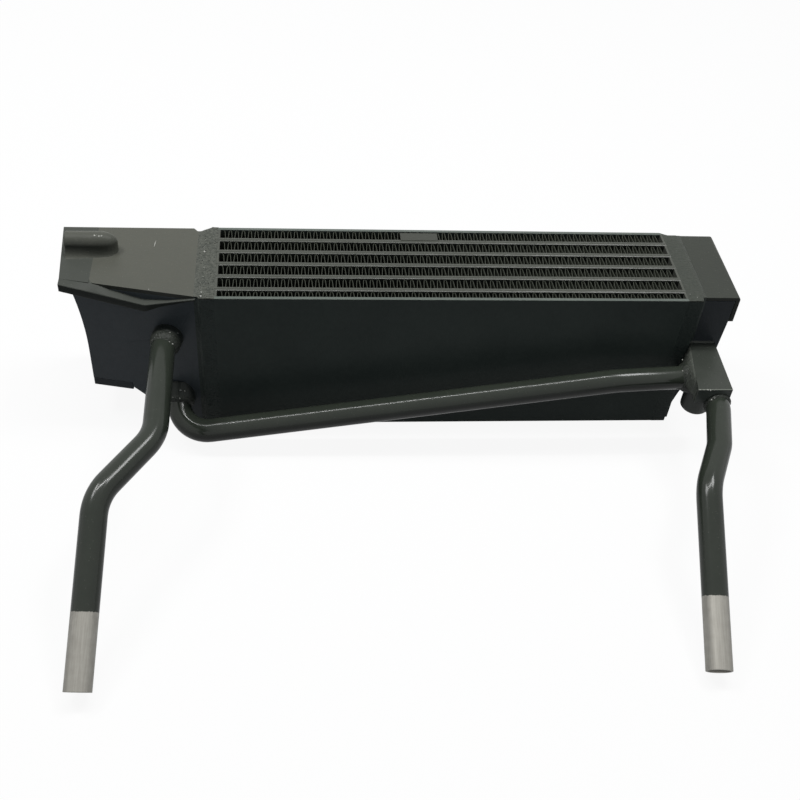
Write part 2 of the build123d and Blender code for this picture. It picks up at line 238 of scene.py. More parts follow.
def finished(name, points, faces, material, slot, nodes, sharp=40.0, marks=None):
    """Makes a piece of points in millimetres: smooth but for edges over so many degrees, riding
    on the body, standing for its CAD nodes. marks are named values, one for each point."""
    mesh = bpy.data.meshes.new(name)
    mesh.from_pydata((points * 0.001).tolist(), [], outward(points, faces))
    for mark, values in (marks or {}).items():
        layer = mesh.attributes.new(mark, "FLOAT", "POINT")
        layer.data.foreach_set("value", np.asarray(values, np.float32).ravel())
    mesh.shade_smooth()
    mesh.set_sharp_from_angle(angle=radians(sharp))
    mesh.materials.append(material)
    piece = bpy.data.objects.new(name, mesh)
    bpy.context.scene.collection.objects.link(piece)
    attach(piece, "root")
    if nodes:
        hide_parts(*nodes)
    return piece


def weave(grid, rows_join=False, columns_join=True, caps=False):
    """Points and faces of a grid [row, column, xyz]: a quad joins each point to the next in its
    row and column, the last one to the first where they join, and caps fill the end rows."""
    rows, columns = grid.shape[:2]
    index = np.arange(rows * columns).reshape(rows, columns)
    quads = np.stack([index, np.roll(index, -1, 1), np.roll(np.roll(index, -1, 1), -1, 0),
                      np.roll(index, -1, 0)], -1)
    quads = quads[:rows if rows_join else rows - 1, :columns if columns_join else columns - 1]
    faces = quads.reshape(-1, 4).tolist()
    if caps:
        faces += [index[0, ::-1].tolist(), index[-1].tolist()]
    return grid.reshape(-1, 3), faces


def folded_wave(length, height, halves, sheet, steps, square):
    """Closed outline of a folded sheet. Its middle line is a wave with flat crests and leaning
    legs, crest * tanh(square * cos t) / tanh(square), with its points at equal steps of the angle
    whose cosine is the height, so that they crowd at the crests. Both faces lie half a sheet off
    it, square to it."""
    angle = np.linspace(0, pi, steps, endpoint=False)
    turn = np.arccos(np.arctanh(np.cos(angle) * np.tanh(square) * 0.9999) / square)
    whole = np.arange(halves)[:, None]
    t = np.append((turn[None] + whole * pi).ravel(), halves * pi)
    v = np.append((np.cos(angle)[None] * np.where(whole % 2, -1, 1)).ravel(), (-1) ** halves)
    x = -length / 2 + length * t / t[-1]
    y = (height - sheet) / 2 * v
    middle = np.stack([x, y], 1)
    way = np.gradient(middle, axis=0)
    side = np.stack([-way[:, 1], way[:, 0]], 1) / np.hypot(*way.T)[:, None]
    return np.concatenate([middle + side * sheet / 2, (middle - side * sheet / 2)[::-1]])


fin_coat, fin_tree, fin_shader = new_material("fin_paint", 0.2)
fin_place = object_place(fin_tree)
fin_skin = placed_group(fin_tree, paint_skin, fin_place, Tone=(0.060, 0.066, 0.051),
                        Deep=(0.042, 0.047, 0.036), Cloud=0.7, Peel=0.6, Dust=0.0,
                        Rough_Low=0.45, Rough_High=0.6)
fin_depth = fin_tree.nodes.new("ShaderNodeSeparateXYZ")
fin_tree.links.new(fin_place, fin_depth.inputs[0])
# Below this depth the fins' colour darkens to near black: painted shade in the gaps.
reach = remap(fin_tree, fin_depth.outputs["Z"], *FIN_SHADE_DEPTH)
fin_tree.links.new(blend_tones(fin_tree, reach, (0.016, 0.017, 0.014), fin_skin.outputs["Color"]),
                   fin_shader.inputs["Base Color"])
fin_tree.links.new(fin_skin.outputs["Roughness"], fin_shader.inputs["Roughness"])
bump(fin_tree, fin_shader, fin_skin.outputs["Height"], 0.0001)

for row, top in enumerate(ROW_TOPS, 1):
    height = min(ROW_HEIGHT, top + ROW_FAR)
    outline = folded_wave(FIN_LENGTH, height, FIN_HALVES, FIN_SHEET, FIN_STEPS, FIN_SQUARE)
    outline[:, 1] += top - height / 2
    levels = np.array([FIN_INSET, CORE_DEPTH / 2, CORE_DEPTH - FIN_INSET])
    grid = np.concatenate([np.broadcast_to(outline, (3, *outline.shape)),
                           np.broadcast_to(levels[:, None, None], (3, len(outline), 1))], 2)
    count = len(outline)
    points, faces = weave(grid)
    half = np.arange(count // 2 - 1)
    for base in (0, 2 * count):
        ends = np.stack([half, half + 1, count - 2 - half, count - 1 - half], 1) + base
        faces += (ends if base else ends[:, ::-1]).tolist()
    finished(f"fin_row_{row}", points, faces, fin_coat, "fin_paint", [f"air_fin_{row}"], 50.0)

# ---- Passage faces ------------------------------------------------------------------------
# The front edge of each oil passage: two sheets and the bar between them, run together by the
# braze and the paint into one slightly crowned strip.
STRIP_HALF_LENGTH, STRIP_WIDTH, STRIP_CROWN = 214.5, 5.0, 0.65


def crowned_strip(middle_y, half_length, width, crown):
    """A closed strip on the air face. Across it the height is crown * (1 - u^2), u from -1 to 1,
    with a slow waviness of a tenth of that along it."""
    along, u = np.meshgrid(np.linspace(-half_length, half_length, 90), np.linspace(-1, 1, 9),
                           indexing="ij")
    rise = crown * (1 - u * u) * (1 + 0.1 * np.sin(along / 9.0 + middle_y))
    top = np.stack([along, middle_y + u * width / 2, CORE_DEPTH + rise], -1)
    bottom = np.stack([along, middle_y + u * (width / 2 - 0.2), CORE_DEPTH - 0.3 + 0 * rise], -1)
    return weave(np.concatenate([top, bottom[:, ::-1]], 1), caps=True)


strip_paint = painted("passage_face_paint", (0.067, 0.072, 0.059), (0.057, 0.062, 0.051),
                      rough=(0.26, 0.36), specular=0.20)
for row, top in enumerate(ROW_TOPS[1:], 1):
    finished(f"passage_face_{row}", *crowned_strip(top + PASSAGE_HEIGHT / 2, STRIP_HALF_LENGTH,
                                                   STRIP_WIDTH, STRIP_CROWN),
             strip_paint, "paint", [])

# ---- Blank tag ----------------------------------------------------------------------------
# A plain sheet plate laid over the farthest row and the edge of the first passage, under the
# same paint, with its edges rounded.
tag_paint = painted("tag_paint", (0.062, 0.066, 0.055), (0.055, 0.058, 0.050), cloud=0.5)
soften(["blank_tag"], tag_paint, 0.4)

# ---- Oil fins -----------------------------------------------------------------------------
# Corrugated strips in the oil passages, bare mill-finish aluminium with a dull film of oil. They
# are hidden inside, so the source's shapes are enough.
oil_coat, oil_tree, oil_shader = new_material("oil_fin_metal", 0.4)
oil_place = object_place(oil_tree)
streaks = remap(oil_tree, noise(oil_tree, oil_place, 420.0, 4.0), 0.3, 0.7)
oil_tree.links.new(blend_tones(oil_tree, streaks, (0.42, 0.42, 0.40), (0.56, 0.56, 0.54)),
                   oil_shader.inputs["Base Color"])
oil_tree.links.new(remap(oil_tree, streaks, 0.0, 1.0, 0.35, 0.5), oil_shader.inputs["Roughness"])
oil_shader.inputs["Metallic"].default_value = 0.9
soften([f"oil_fin_{row}" for row in range(1, PASSAGES + 1)], oil_coat, 0)

# ---- Left tank ----------------------------------------------------------------------------
# Five plates of aluminium sheet, cut and welded: slanted near wall, far wall, end wall, folded
# floor and cover. Their edges are broken by hand and blunted by the paint.
cover_paint = painted("cover_paint", (0.098, 0.100, 0.083), (0.088, 0.091, 0.077), cloud=0.6)
# The walls' tone is lighter and bluer than the cover's: a painted reflection of cool light on
# them.
wall_paint = painted("tank_wall_paint", (0.148, 0.164, 0.174), (0.113, 0.128, 0.138),
                     specular=0.20)
soften(["left_cover"], cover_paint, 0.7)
soften(["left_near_wall", "left_end_wall", "left_floor"], wall_paint, 0.5)
soften(["left_far_wall"], wall_paint, 0)

# ---- Bracket ------------------------------------------------------------------------------
# Two thick plates between the tank's wings, and an arm of square bar that dips below the cover
# and comes up again, welded along the tank's near edge.
SLANT = radians(11.5)
LEFT_HALF_WIDTH = 50.9
ARM_LEFT, ARM_DIP, ARM_RIGHT = -350.0, -276.0, -231.0
ARM_HEIGHT, ARM_DEPTH = 8.0, 8.2
arm_paint = painted("bracket_paint", (0.074, 0.079, 0.069), (0.064, 0.069, 0.061), specular=0.08)
low_paint = painted("low_bracket_paint", (0.110, 0.121, 0.126), (0.086, 0.096, 0.101),
                    specular=0.12)
soften(["upper_bracket"], arm_paint, 0)
soften(["lower_bracket"], low_paint, 0.9)


def tank_near_y(x, out=0.0):
    """Y of the left tank's slanted near wall at x, moved outwards by out."""
    return -LEFT_HALF_WIDTH + (-CORE_HALF - x) * tan(SLANT) - out / cos(SLANT)


def arm_top(x):
    """Height of the arm's top: level with the cover at its left, 10 lower at its dip."""
    return np.interp(x, [ARM_LEFT, ARM_DIP, -256.0, ARM_RIGHT],
                     [CORE_DEPTH, CORE_DEPTH - 10, CORE_DEPTH - 7.6, CORE_DEPTH - 1.6])


stations = np.unique(np.concatenate([np.linspace(ARM_LEFT, ARM_RIGHT, 46),
                                     ARM_DIP + np.array([-1.2, -0.4, 0.4, 1.2])]))
deep = np.interp(stations, [ARM_LEFT, ARM_DIP + 2, -256.0, ARM_RIGHT],
                 [ARM_DEPTH, ARM_DEPTH, 3.8, 1.9])
tall = np.interp(stations, [ARM_LEFT, ARM_DIP, -262.0, ARM_RIGHT],
                 [ARM_HEIGHT, ARM_HEIGHT, 4.4, 1.9])
# The section's ring, four corners of radius ROUND: outer and inner at the top, inner and outer
# below. The inner side runs into the wall, and its upper corner is square and just under the top.
ROUND = 0.8
INTO_WALL, UNDER_COVER = 1.6, 0.03
around = np.concatenate([np.linspace(start, start + pi / 2, 4)
                         for start in (0, pi / 2, pi, 3 * pi / 2)])
inner = np.repeat([False, True, True, False], 4)
upper = np.repeat([True, True, False, False], 4)
out = np.where(inner, ROUND, deep[:, None] - ROUND) + ROUND * np.cos(around)
drop = np.where(upper, -ROUND, ROUND - tall[:, None]) + ROUND * np.sin(around)
# Weld metal raises the top's inner edge to the cover where the arm leaves the plate
filled = np.interp(stations, [ARM_LEFT, -319.0, -306.0, -286.0], [1.0, 1.0, 0.3, 0.0])
raised = (filled * (CORE_DEPTH - arm_top(stations)))[:, None] * np.clip(1 - out / deep[:, None],
                                                                        0, 1) * upper
drop = np.where(inner & upper, -UNDER_COVER, drop) + raised
out = np.where(inner, out - INTO_WALL, out)
arm_grid = np.stack([np.broadcast_to(stations[:, None], out.shape),
                     tank_near_y(stations[:, None], out), arm_top(stations)[:, None] + drop], -1)
finished("cranked_arm", *weave(arm_grid, caps=True), arm_paint, "paint", ["bracket_arm"], 50.0)

# ---- Boss ---------------------------------------------------------------------------------
# A round bar with a bullet end, lying on the cover, and its weld, which runs smoothly into both
# and is wider on the near side. One loft makes the two.
BOSS_X, BOSS_Y = -348.5, 16.5


def lying_bar(plan, left_x, middle_y, base_z, level, count=41):
    """A closed loft along x of bar sections on a plane. Each row of the plan gives the place
    along, the radius r and the flare f of the foot on the near side, a sixth of it on the far
    side. Over its widest level L a section is half a circle. Under it a Bezier curve with
    corners (r, L), (r + f / 5, L / 5) and (r + f, 0) runs out to the plane."""
    rows = np.asarray(plan, float)
    along = np.linspace(0, rows[-1, 0], 110)
    wide, flare = (np.interp(along, rows[:, 0], rows[:, i])[:, None] for i in (1, 2))
    t = np.linspace(0, 1, 12)[None]
    rise = t ** 2 * level + 2 * t * (1 - t) * level / 5 + 0 * wide - 0.05
    far_foot, near_foot = (wide + ((1 - t) ** 2 + 0.4 * t * (1 - t)) * flare * part
                           for part in (1 / 6, 1))
    a = np.linspace(0, pi, count)[None, 1:-1]
    side = np.concatenate([far_foot, wide * np.cos(a), -near_foot[:, ::-1]], 1)
    rise = np.concatenate([rise, level + wide * np.sin(a), rise[:, ::-1]], 1)
    grid = np.stack([np.broadcast_to(left_x + along[:, None], side.shape), middle_y + side,
                     base_z + rise], -1)
    return weave(grid, caps=True)


boss_plan = [(0, 8.5, 5.5), (0.6, 9.2, 5.5), (12, 9.2, 4.6), (22, 9.2, 3.2), (30.5, 9.2, 2.6),
             (34, 8.9, 2.6), (38, 8.0, 2.6), (41, 6.6, 2.4), (43.5, 4.6, 2.2), (45, 2.4, 2.0),
             (45.6, 1.0, 1.6)]
boss_paint = painted("boss_paint", (0.096, 0.099, 0.083), (0.078, 0.082, 0.070),
                     rough=(0.36, 0.48), specular=0.12)
finished("round_boss", *lying_bar(boss_plan, BOSS_X, BOSS_Y, CORE_DEPTH, 9.2), boss_paint, "paint",
         ["boss", "boss_weld"], 60.0)

# ---- Right tank ---------------------------------------------------------------------------
# A folded cover, its flange hanging over the tapered end wall, and two side walls. The cover's
# colour is darker than the left one's, painted shade for the light falling off to the right, and
# the walls' colour is lighter and bluer, painted light.
RIGHT_HALF_WIDTH = 47.9
# Darker cover tone: painted shade. Lighter, bluer wall tone: painted light.
right_cover_paint = painted("right_cover_paint", (0.043, 0.048, 0.039), (0.038, 0.042, 0.035))
right_wall_paint = painted("right_wall_paint", (0.106, 0.115, 0.122), (0.086, 0.094, 0.101),
                           specular=0.12)
soften(["right_cover"], right_cover_paint, 0.7)
soften(["right_end_wall", "right_near_wall", "right_far_wall"], right_wall_paint, 0.5)

# ---- Junction -----------------------------------------------------------------------------
# A flat hollow block welded to the right tank, with a round pot and its cap under it.
# Its front face has lighter tones, painted light on the face towards the viewer.
POT_X, POT_Y, BLOCK_BASE = 241.5, -76.0, 85.0
BLOCK_LIT_FRONT = (-0.1135, -0.1125)
block_and_lit_tones = {"Tone": ((0.048, 0.054, 0.045), (0.20, 0.215, 0.185)),
               "Deep": ((0.041, 0.046, 0.039), (0.17, 0.18, 0.155))}
block_paint = painted("block_paint", block_and_lit_tones["Tone"][0], block_and_lit_tones["Deep"][0],
                      rough=(0.28, 0.38), specular=0.20)
block_tree = block_paint.node_tree
block_axes = block_tree.nodes.new("ShaderNodeSeparateXYZ")
block_tree.links.new(object_place(block_tree), block_axes.inputs[0])
# The front face, towards the viewer, turns to the lighter tones: painted light.
lit_front_mask = remap(block_tree, block_axes.outputs["Y"], *BLOCK_LIT_FRONT, 1.0, 0.0)
block_skin = next(node for node in block_tree.nodes if node.type == "GROUP")
for socket, (tone, front) in block_and_lit_tones.items():
    block_tree.links.new(blend_tones(block_tree, lit_front_mask, tone, front), block_skin.inputs[socket])
soften(["junction_block"], block_paint, 0.7)
# The pot takes a lighter copy of the block's paint: painted light on its side-facing wall.
pot_paint = painted("pot_paint", (0.094, 0.103, 0.090), (0.076, 0.084, 0.073), specular=0.35)


def turned(outline, centre, axis, count=64):
    """A profile of (along, radius) pairs turned round an axis through a centre."""
    along = np.asarray(axis, float) / np.linalg.norm(axis)
    first = np.cross(along, (0.0, 0.0, 1.0) if abs(along[2]) < 0.9 else (1.0, 0.0, 0.0))
    first /= np.linalg.norm(first)
    second = np.cross(along, first)
    turn = np.linspace(0, 2 * pi, count, endpoint=False)
    ring = np.outer(np.cos(turn), first) + np.outer(np.sin(turn), second)
    steps = np.asarray(outline, float)
    return (np.asarray(centre, float) + steps[:, None, :1] * along
            + steps[:, None, 1:] * ring[None])


pot_outline = [(0.0, 12.4), (0.2, 13.1), (0.9, 13.5), (38.0, 13.5), (40.0, 13.35), (40.8, 12.7),
               (41.0, 11.6)]
finished("junction_pot_shell", *weave(turned(pot_outline, (POT_X, POT_Y, BLOCK_BASE), (0, 0, -1)),
                                      caps=True), pot_paint, "paint",
         ["junction_pot", "pot_cap"], 60.0)

# ---- Pipes --------------------------------------------------------------------------------
# Drawn aluminium tube, 22 mm outside with a 2 mm wall, bent cold. The outlet and the inlet were
# masked for spraying over the last 60 mm, where the hoses go, and show the bare drawn metal.
PIPE_RADIUS, PIPE_BORE, LIP = 11.0, 9.0, 0.35
BARE_RUN = 60.0
OUTLET_PORT = np.array([-258.0, -44.90, 105.0])
OUTLET_WAY = np.array([-sin(SLANT), -cos(SLANT), 0.0])
BYPASS_PORT = np.array([-251.5, -46.22, 35.5])


def unit(vectors):
    """Each vector brought to length 1."""
    return vectors / np.linalg.norm(vectors, axis=-1, keepdims=True)


BYPASS_WAY = unit(np.array([-2.5, -36.8, -19.5]))


def bent_line(corners, radii, step=3.0):
    """Stations and directions along straight runs joined by arcs. An arc of radius r between
    directions a and b starts r tan(turn / 2) before its corner and runs round its centre:
    start + r (sin(w) a + (1 - cos(w)) n), where n points from the start to the centre."""
    corners = np.asarray(corners, float)
    ways = unit(np.diff(corners, axis=0))
    places, headings = [corners[:1]], [ways[:1]]
    for corner, a, b, r in zip(corners[1:-1], ways[:-1], ways[1:], radii):
        turn = np.arccos(np.clip(a @ b, -1, 1))
        n = unit(b - a * (a @ b))
        w = np.linspace(0, turn, max(5, int(np.ceil(r * turn / step))))[:, None]
        places.append(corner - a * r * tan(turn / 2) + r * (np.sin(w) * a + (1 - np.cos(w)) * n))
        headings.append(np.cos(w) * a + np.sin(w) * n)
    places.append(corners[-1:])
    headings.append(ways[-1:])
    return np.concatenate(places), np.concatenate(headings)


def drawn_tube(places, headings, outer, bore, bare, count=56):
    """A tube carried along a line: rings of the outer wall to the end, a rounded lip, and the
    rings of the bore back to the start, where they join the first. The mark along is the
    distance from the open end."""
    gone = np.concatenate([[0], np.cumsum(np.linalg.norm(np.diff(places, axis=0), axis=1))])
    if bare:
        left = np.array([bare + 6, bare + 2, bare, bare - 2, bare / 2, 1.0])
        places = np.concatenate([places[:-1], places[-1] - left[:, None] * headings[-1],
                                 places[-1:]])
        headings = np.concatenate([headings[:-1], np.repeat(headings[-1:], len(left) + 1, 0)])
        gone = np.concatenate([gone[:-1], gone[-1] - left, gone[-1:]])
    last = len(places) - 1
    order = np.concatenate([np.arange(last), np.full(6, last), np.arange(last)[::-1]])
    back = np.concatenate([np.zeros(last), LIP * np.array([1, 0.3, 0, 0, 0.3, 1]),
                           np.zeros(last)])
    radius = np.concatenate([np.full(last, outer), [outer, outer - LIP * 0.3, outer - LIP,
                                                    bore + LIP, bore + LIP * 0.3, bore],
                             np.full(last, bore)])
    way = headings[order]
    side = unit(np.cross(way, (0.0, 0.0, 1.0)))
    up = np.cross(side, way)
    turn = np.linspace(0, 2 * pi, count, endpoint=False)
    ring = np.cos(turn)[None, :, None] * side[:, None] + np.sin(turn)[None, :, None] * up[:, None]
    grid = (places[order] - back[:, None] * way)[:, None] + radius[:, None, None] * ring
    along = np.repeat((gone[-1] - gone[order])[:, None], count, 1)
    around = np.broadcast_to(turn, along.shape)
    return weave(grid, rows_join=True), {"along": along * 0.001, "cosine": np.cos(around),
                                         "sine": np.sin(around)}


# Drawn metal: fine lines along the tube, faint rings left by the masking tape and handling
drawn_skin, metal_in, metal_out = node_group(
    "drawn_metal", {"Place": "Vector", "Bright": "Color", "Dull": "Color"},
    {"Color": "Color", "Roughness": "Float", "Height": "Float"})
stretch = drawn_skin.nodes.new("ShaderNodeMapping")
stretch.inputs["Scale"].default_value = (0.05, 1.0, 1.0)
drawn_skin.links.new(metal_in.outputs["Place"], stretch.inputs["Vector"])
lines = noise(drawn_skin, stretch.outputs[0], 900.0, 3.0, 0.65)
marks = remap(drawn_skin, noise(drawn_skin, metal_in.outputs["Place"], 130.0, 3.0), 0.35, 0.7)
tone_mask = compute(drawn_skin, "MULTIPLY", remap(drawn_skin, lines, 0.3, 0.7), 0.6)
tone_mask = compute(drawn_skin, "ADD", tone_mask, compute(drawn_skin, "MULTIPLY", marks, 0.4))
drawn_skin.links.new(blend_tones(drawn_skin, tone_mask, metal_in.outputs["Bright"],
                                 metal_in.outputs["Dull"]), metal_out.inputs["Color"])
drawn_skin.links.new(remap(drawn_skin, marks, 0.0, 1.0, 0.34, 0.46), metal_out.inputs["Roughness"])
drawn_skin.links.new(lines, metal_out.inputs["Height"])


def tube_finish(name, bare):
    """Paint on a tube, ending in a slightly ragged edge at the masked run, and bare metal
    beyond. Reads the tube's own marks, so that the lines follow its bends."""
    material, tree, shader = new_material(name, 0.26)
    values = {}
    for mark in ("along", "cosine", "sine"):
        node = tree.nodes.new("ShaderNodeAttribute")
        node.attribute_name = mark
        values[mark] = node.outputs["Fac"]
    own = tree.nodes.new("ShaderNodeCombineXYZ")
    tree.links.new(values["along"], own.inputs["X"])
    for mark, axis in (("cosine", "Y"), ("sine", "Z")):
        tree.links.new(compute(tree, "MULTIPLY", values[mark], PIPE_RADIUS * 0.001),
                       own.inputs[axis])
    place = own.outputs[0]
    coat = placed_group(tree, paint_skin, place, Tone=(0.038, 0.045, 0.035),
                        Deep=(0.029, 0.035, 0.027), Cloud=0.8, Peel=0.15, Dust=0.6,
                        Rough_Low=0.14, Rough_High=0.20)
    if not bare:
        tree.links.new(coat.outputs["Color"], shader.inputs["Base Color"])
        tree.links.new(coat.outputs["Roughness"], shader.inputs["Roughness"])
        bump(tree, shader, coat.outputs["Height"], 0.0001)
        return material
    metal = placed_group(tree, drawn_skin, place, Bright=(0.37, 0.36, 0.325),
                         Dull=(0.26, 0.25, 0.225))
    ragged = compute(tree, "ADD", values["along"],
                     remap(tree, noise(tree, place, 260.0, 3.0), 0.3, 0.7, -0.0006, 0.0006))
    covered = remap(tree, ragged, BARE_RUN * 0.001 - 0.0002, BARE_RUN * 0.001 + 0.0002)
    tree.links.new(blend_tones(tree, covered, metal.outputs["Color"], coat.outputs["Color"]),
                   shader.inputs["Base Color"])
    tree.links.new(remap(tree, covered, 0.0, 1.0, metal.outputs["Roughness"],
                         coat.outputs["Roughness"]), shader.inputs["Roughness"])
    tree.links.new(remap(tree, covered, 0.0, 1.0, 0.78, 0.0), shader.inputs["Metallic"])
    film = compute(tree, "MULTIPLY", covered, 2.0)
    height = compute(tree, "ADD", film, remap(tree, covered, 0.0, 1.0, metal.outputs["Height"],
                                              coat.outputs["Height"]))
    bump(tree, shader, height, 0.00006)
    return material


hose_tube = tube_finish("hose_pipe_finish", True)
bypass_tube = tube_finish("bypass_pipe_finish", False)
outlet_route = [OUTLET_PORT - 5 * OUTLET_WAY, OUTLET_PORT + 18 * OUTLET_WAY,
                (-262.19, -157.14, 92.0), (-304.19, -219.54, 88.0), (-311.59, -350.54, 12.0)]
inlet_route = [(241.5, -76.1, 83.0), (243.0, -118.0, 83.0),
               (231.0, -164.0, 81.0), (208.3, -210.3, 79.0), (195.3, -350.1, 12.0)]
bypass_route = [BYPASS_PORT - 5 * BYPASS_WAY, (-254.0, -83.02, 16.0), (155.5, -78.0, 78.7),
                (241.5, -76.0, 82.7)]
for name, route, radii, coat, bare in (
        ("outlet", outlet_route, (60.0, 45.0, 45.0), hose_tube, BARE_RUN),
        ("inlet", inlet_route, (45.0, 45.0, 45.0), hose_tube, BARE_RUN),
        ("bypass", bypass_route, (28.0, 150.0), bypass_tube, 0.0)):
    woven, own_marks = drawn_tube(*bent_line(route, radii), PIPE_RADIUS, PIPE_BORE, bare)
    finished(f"{name}_tube", *woven, coat, "paint", [f"{name}_pipe"], 60.0, own_marks)

# ---- Port collars -------------------------------------------------------------------------
# A turned ring round each port of the left tank, pushed through the wall and welded. Its outer
# edge is blunted.
COLLAR_RADIUS, COLLAR_HEIGHT = 14.0, 9.0
collar_paint = painted("collar_paint", (0.054, 0.060, 0.052), (0.040, 0.046, 0.040))
collar_outline = [(-6.0, 11.0), (-6.0, COLLAR_RADIUS), (7.9, COLLAR_RADIUS), (8.7, 13.6),
                  (COLLAR_HEIGHT, 12.9), (COLLAR_HEIGHT, 11.0)]
for name, port, way in (("outlet", OUTLET_PORT, OUTLET_WAY), ("bypass", BYPASS_PORT, BYPASS_WAY)):
    finished(f"{name}_port_ring", *weave(turned(collar_outline, port, way), rows_join=True),
             collar_paint, "paint", [f"{name}_collar"], 60.0)

# ---- Port welds --------------------------------------------------------------------------------
# Hand-laid aluminium beads under the paint: rows of overlapping ripples with lumps and pits.
# First the two round the pipes at the ports of the left tank.
weld_skin, weld_in, weld_out = node_group(
    "weld_skin", {"Place": "Vector", "Tone": "Color", "Deep": "Color", "Glint": "Float"},
    {"Color": "Color", "Roughness": "Float", "Height": "Float"})
lumps_mask = noise(weld_skin, weld_in.outputs["Place"], 420.0, 5.0, 0.65)
pits = weld_skin.nodes.new("ShaderNodeTexVoronoi")
pits.inputs["Scale"].default_value = 330.0
weld_skin.links.new(weld_in.outputs["Place"], pits.inputs["Vector"])
pit_mask = remap(weld_skin, pits.outputs["Distance"], 0.08, 0.2, 1.0, 0.0)
weld_tone = blend_tones(weld_skin, remap(weld_skin, lumps_mask, 0.35, 0.65),
                        weld_in.outputs["Deep"], weld_in.outputs["Tone"])
# The pits darken the colour towards near black: painted shade in them.
weld_tone = blend_tones(weld_skin, compute(weld_skin, "MULTIPLY", pit_mask, 0.6), weld_tone,
                        (0.02, 0.021, 0.02))
# Bright flecks, as many as Glint asks, are painted highlights in the weld's colour.
spark = remap(weld_skin, noise(weld_skin, weld_in.outputs["Place"], 700.0, 2.0), 0.66, 0.74)
spark = compute(weld_skin, "MULTIPLY", spark, weld_in.outputs["Glint"])
weld_skin.links.new(blend_tones(weld_skin, spark, weld_tone, (0.55, 0.55, 0.52)),
                    weld_out.inputs["Color"])
weld_skin.links.new(remap(weld_skin, lumps_mask, 0.3, 0.7, 0.28, 0.5),
                    weld_out.inputs["Roughness"])
weld_skin.links.new(compute(weld_skin, "SUBTRACT", lumps_mask, pit_mask),
                    weld_out.inputs["Height"])
FLANK_TOP = (0.1535, 0.1548)


def welded(name, tone, deep, glint, depth=0.00035, specular=0.30, flank=None):
    """Painted weld metal. Below the air face the tones can turn to the side plates' lighter ones,
    painted light.
    """
    material, tree, shader = new_material(name, specular)
    node = placed_group(tree, weld_skin, object_place(tree), Tone=tone, Deep=deep, Glint=glint)
    if flank:
        axes = tree.nodes.new("ShaderNodeSeparateXYZ")
        tree.links.new(object_place(tree), axes.inputs[0])
        top = remap(tree, axes.outputs["Z"], *FLANK_TOP)
        for socket, low, high in (("Tone", flank[0], tone), ("Deep", flank[1], deep)):
            tree.links.new(blend_tones(tree, top, low, high), node.inputs[socket])
    tree.links.new(node.outputs["Color"], shader.inputs["Base Color"])
    tree.links.new(node.outputs["Roughness"], shader.inputs["Roughness"])
    bump(tree, shader, node.outputs["Height"], depth)
    return material


# Lighter weld tones for the faces below the air face: painted light, like the side plates'.
weld_flank_lit, weld_flank_lit_deep = (0.112, 0.133, 0.118), (0.092, 0.109, 0.098)
rough_weld = welded("rough_weld", (0.118, 0.123, 0.105), (0.050, 0.056, 0.047), 0.15, 0.0009, 0.12,
                    (weld_flank_lit, weld_flank_lit_deep))
side_weld = welded("side_weld", (0.100, 0.108, 0.093), (0.064, 0.070, 0.060), 0.2, 0.0005, 0.2)
dark_weld = welded("dark_weld", (0.040, 0.045, 0.037), (0.024, 0.028, 0.023), 0.5, 0.0006, 0.18)
plain_weld = welded("plain_weld", (0.064, 0.070, 0.059), (0.048, 0.054, 0.045), 0.0, 0.00025,
                    0.12, (weld_flank_lit, weld_flank_lit_deep))


def ripples(along, across, pitch, seed):
    """Height of a hand-laid bead from 0 to 1: humps sqrt(1 - f^2) that follow each other every
    pitch, bowed by the square of the place across, f running from -1 to 1 over each hump. The
    phase wanders on slow waves whose places come from the seed."""
    start = np.random.default_rng(seed).uniform(0, 2 * pi, 4)
    wander = (0.35 * np.sin(along / pitch * 0.71 + start[0])
              + 0.25 * np.sin(along / pitch * 1.37 + start[1]))
    f = 2 * np.mod(along / pitch + 0.9 * across ** 2 + wander, 1.0) - 1
    hump = np.sqrt(1 - 0.95 * f * f)
    lump = (0.5 + 0.28 * np.sin(along / pitch * 0.43 + start[2] + 2 * across)
            + 0.22 * np.sin(along / pitch * 0.93 + start[3] - 3 * across))
    return 0.65 * hump + 0.35 * lump


def bead(crown, root):
    """Points and faces of a closed strip between two grids, the crown and the root under it."""
    return weave(np.concatenate([crown, root[:, ::-1]], 1), caps=True)


def ring_weld(port, way, offset, toe, mouth, height, seed, count=120, across=9):
    """A fillet round a pipe: its surface bows from the collar's toe radius up to the mouth
    radius on the pipe, lifted along its own slope by the ripples."""
    along = unit(np.asarray(way, float))
    first = unit(np.cross(along, (0.0, 0.0, 1.0)))
    second = np.cross(along, first)
    turn, s = np.meshgrid(np.linspace(0, 2 * pi, count, endpoint=False),
                          np.linspace(0, 1, across), indexing="ij")
    lift = (ripples(turn * toe, 2 * s - 1, 3.1, seed) - 0.4) * np.sin(pi * s) * 1.1
    radius = mouth + (toe - mouth) * (1 - s ** 2.2) + lift * 0.7
    out = offset + height * s + lift * 0.5
    ring = np.cos(turn)[..., None] * first + np.sin(turn)[..., None] * second
    crown = port + out[..., None] * along + radius[..., None] * ring
    root = port + (offset - 0.6) * along + 10.6 * ring[:, :1]
    return weave(np.concatenate([crown, root], 1), rows_join=True)


for name, port, way, seed in (("outlet", OUTLET_PORT, OUTLET_WAY, 3),
                              ("bypass", BYPASS_PORT, BYPASS_WAY, 4)):
    finished(f"{name}_ring_weld", *ring_weld(port, way, COLLAR_HEIGHT - 1.5, 13.9, 10.9,
                                             9.5 if name == "outlet" else 5.5, seed),
             dark_weld, "paint", [f"{name}_weld"], 70.0)

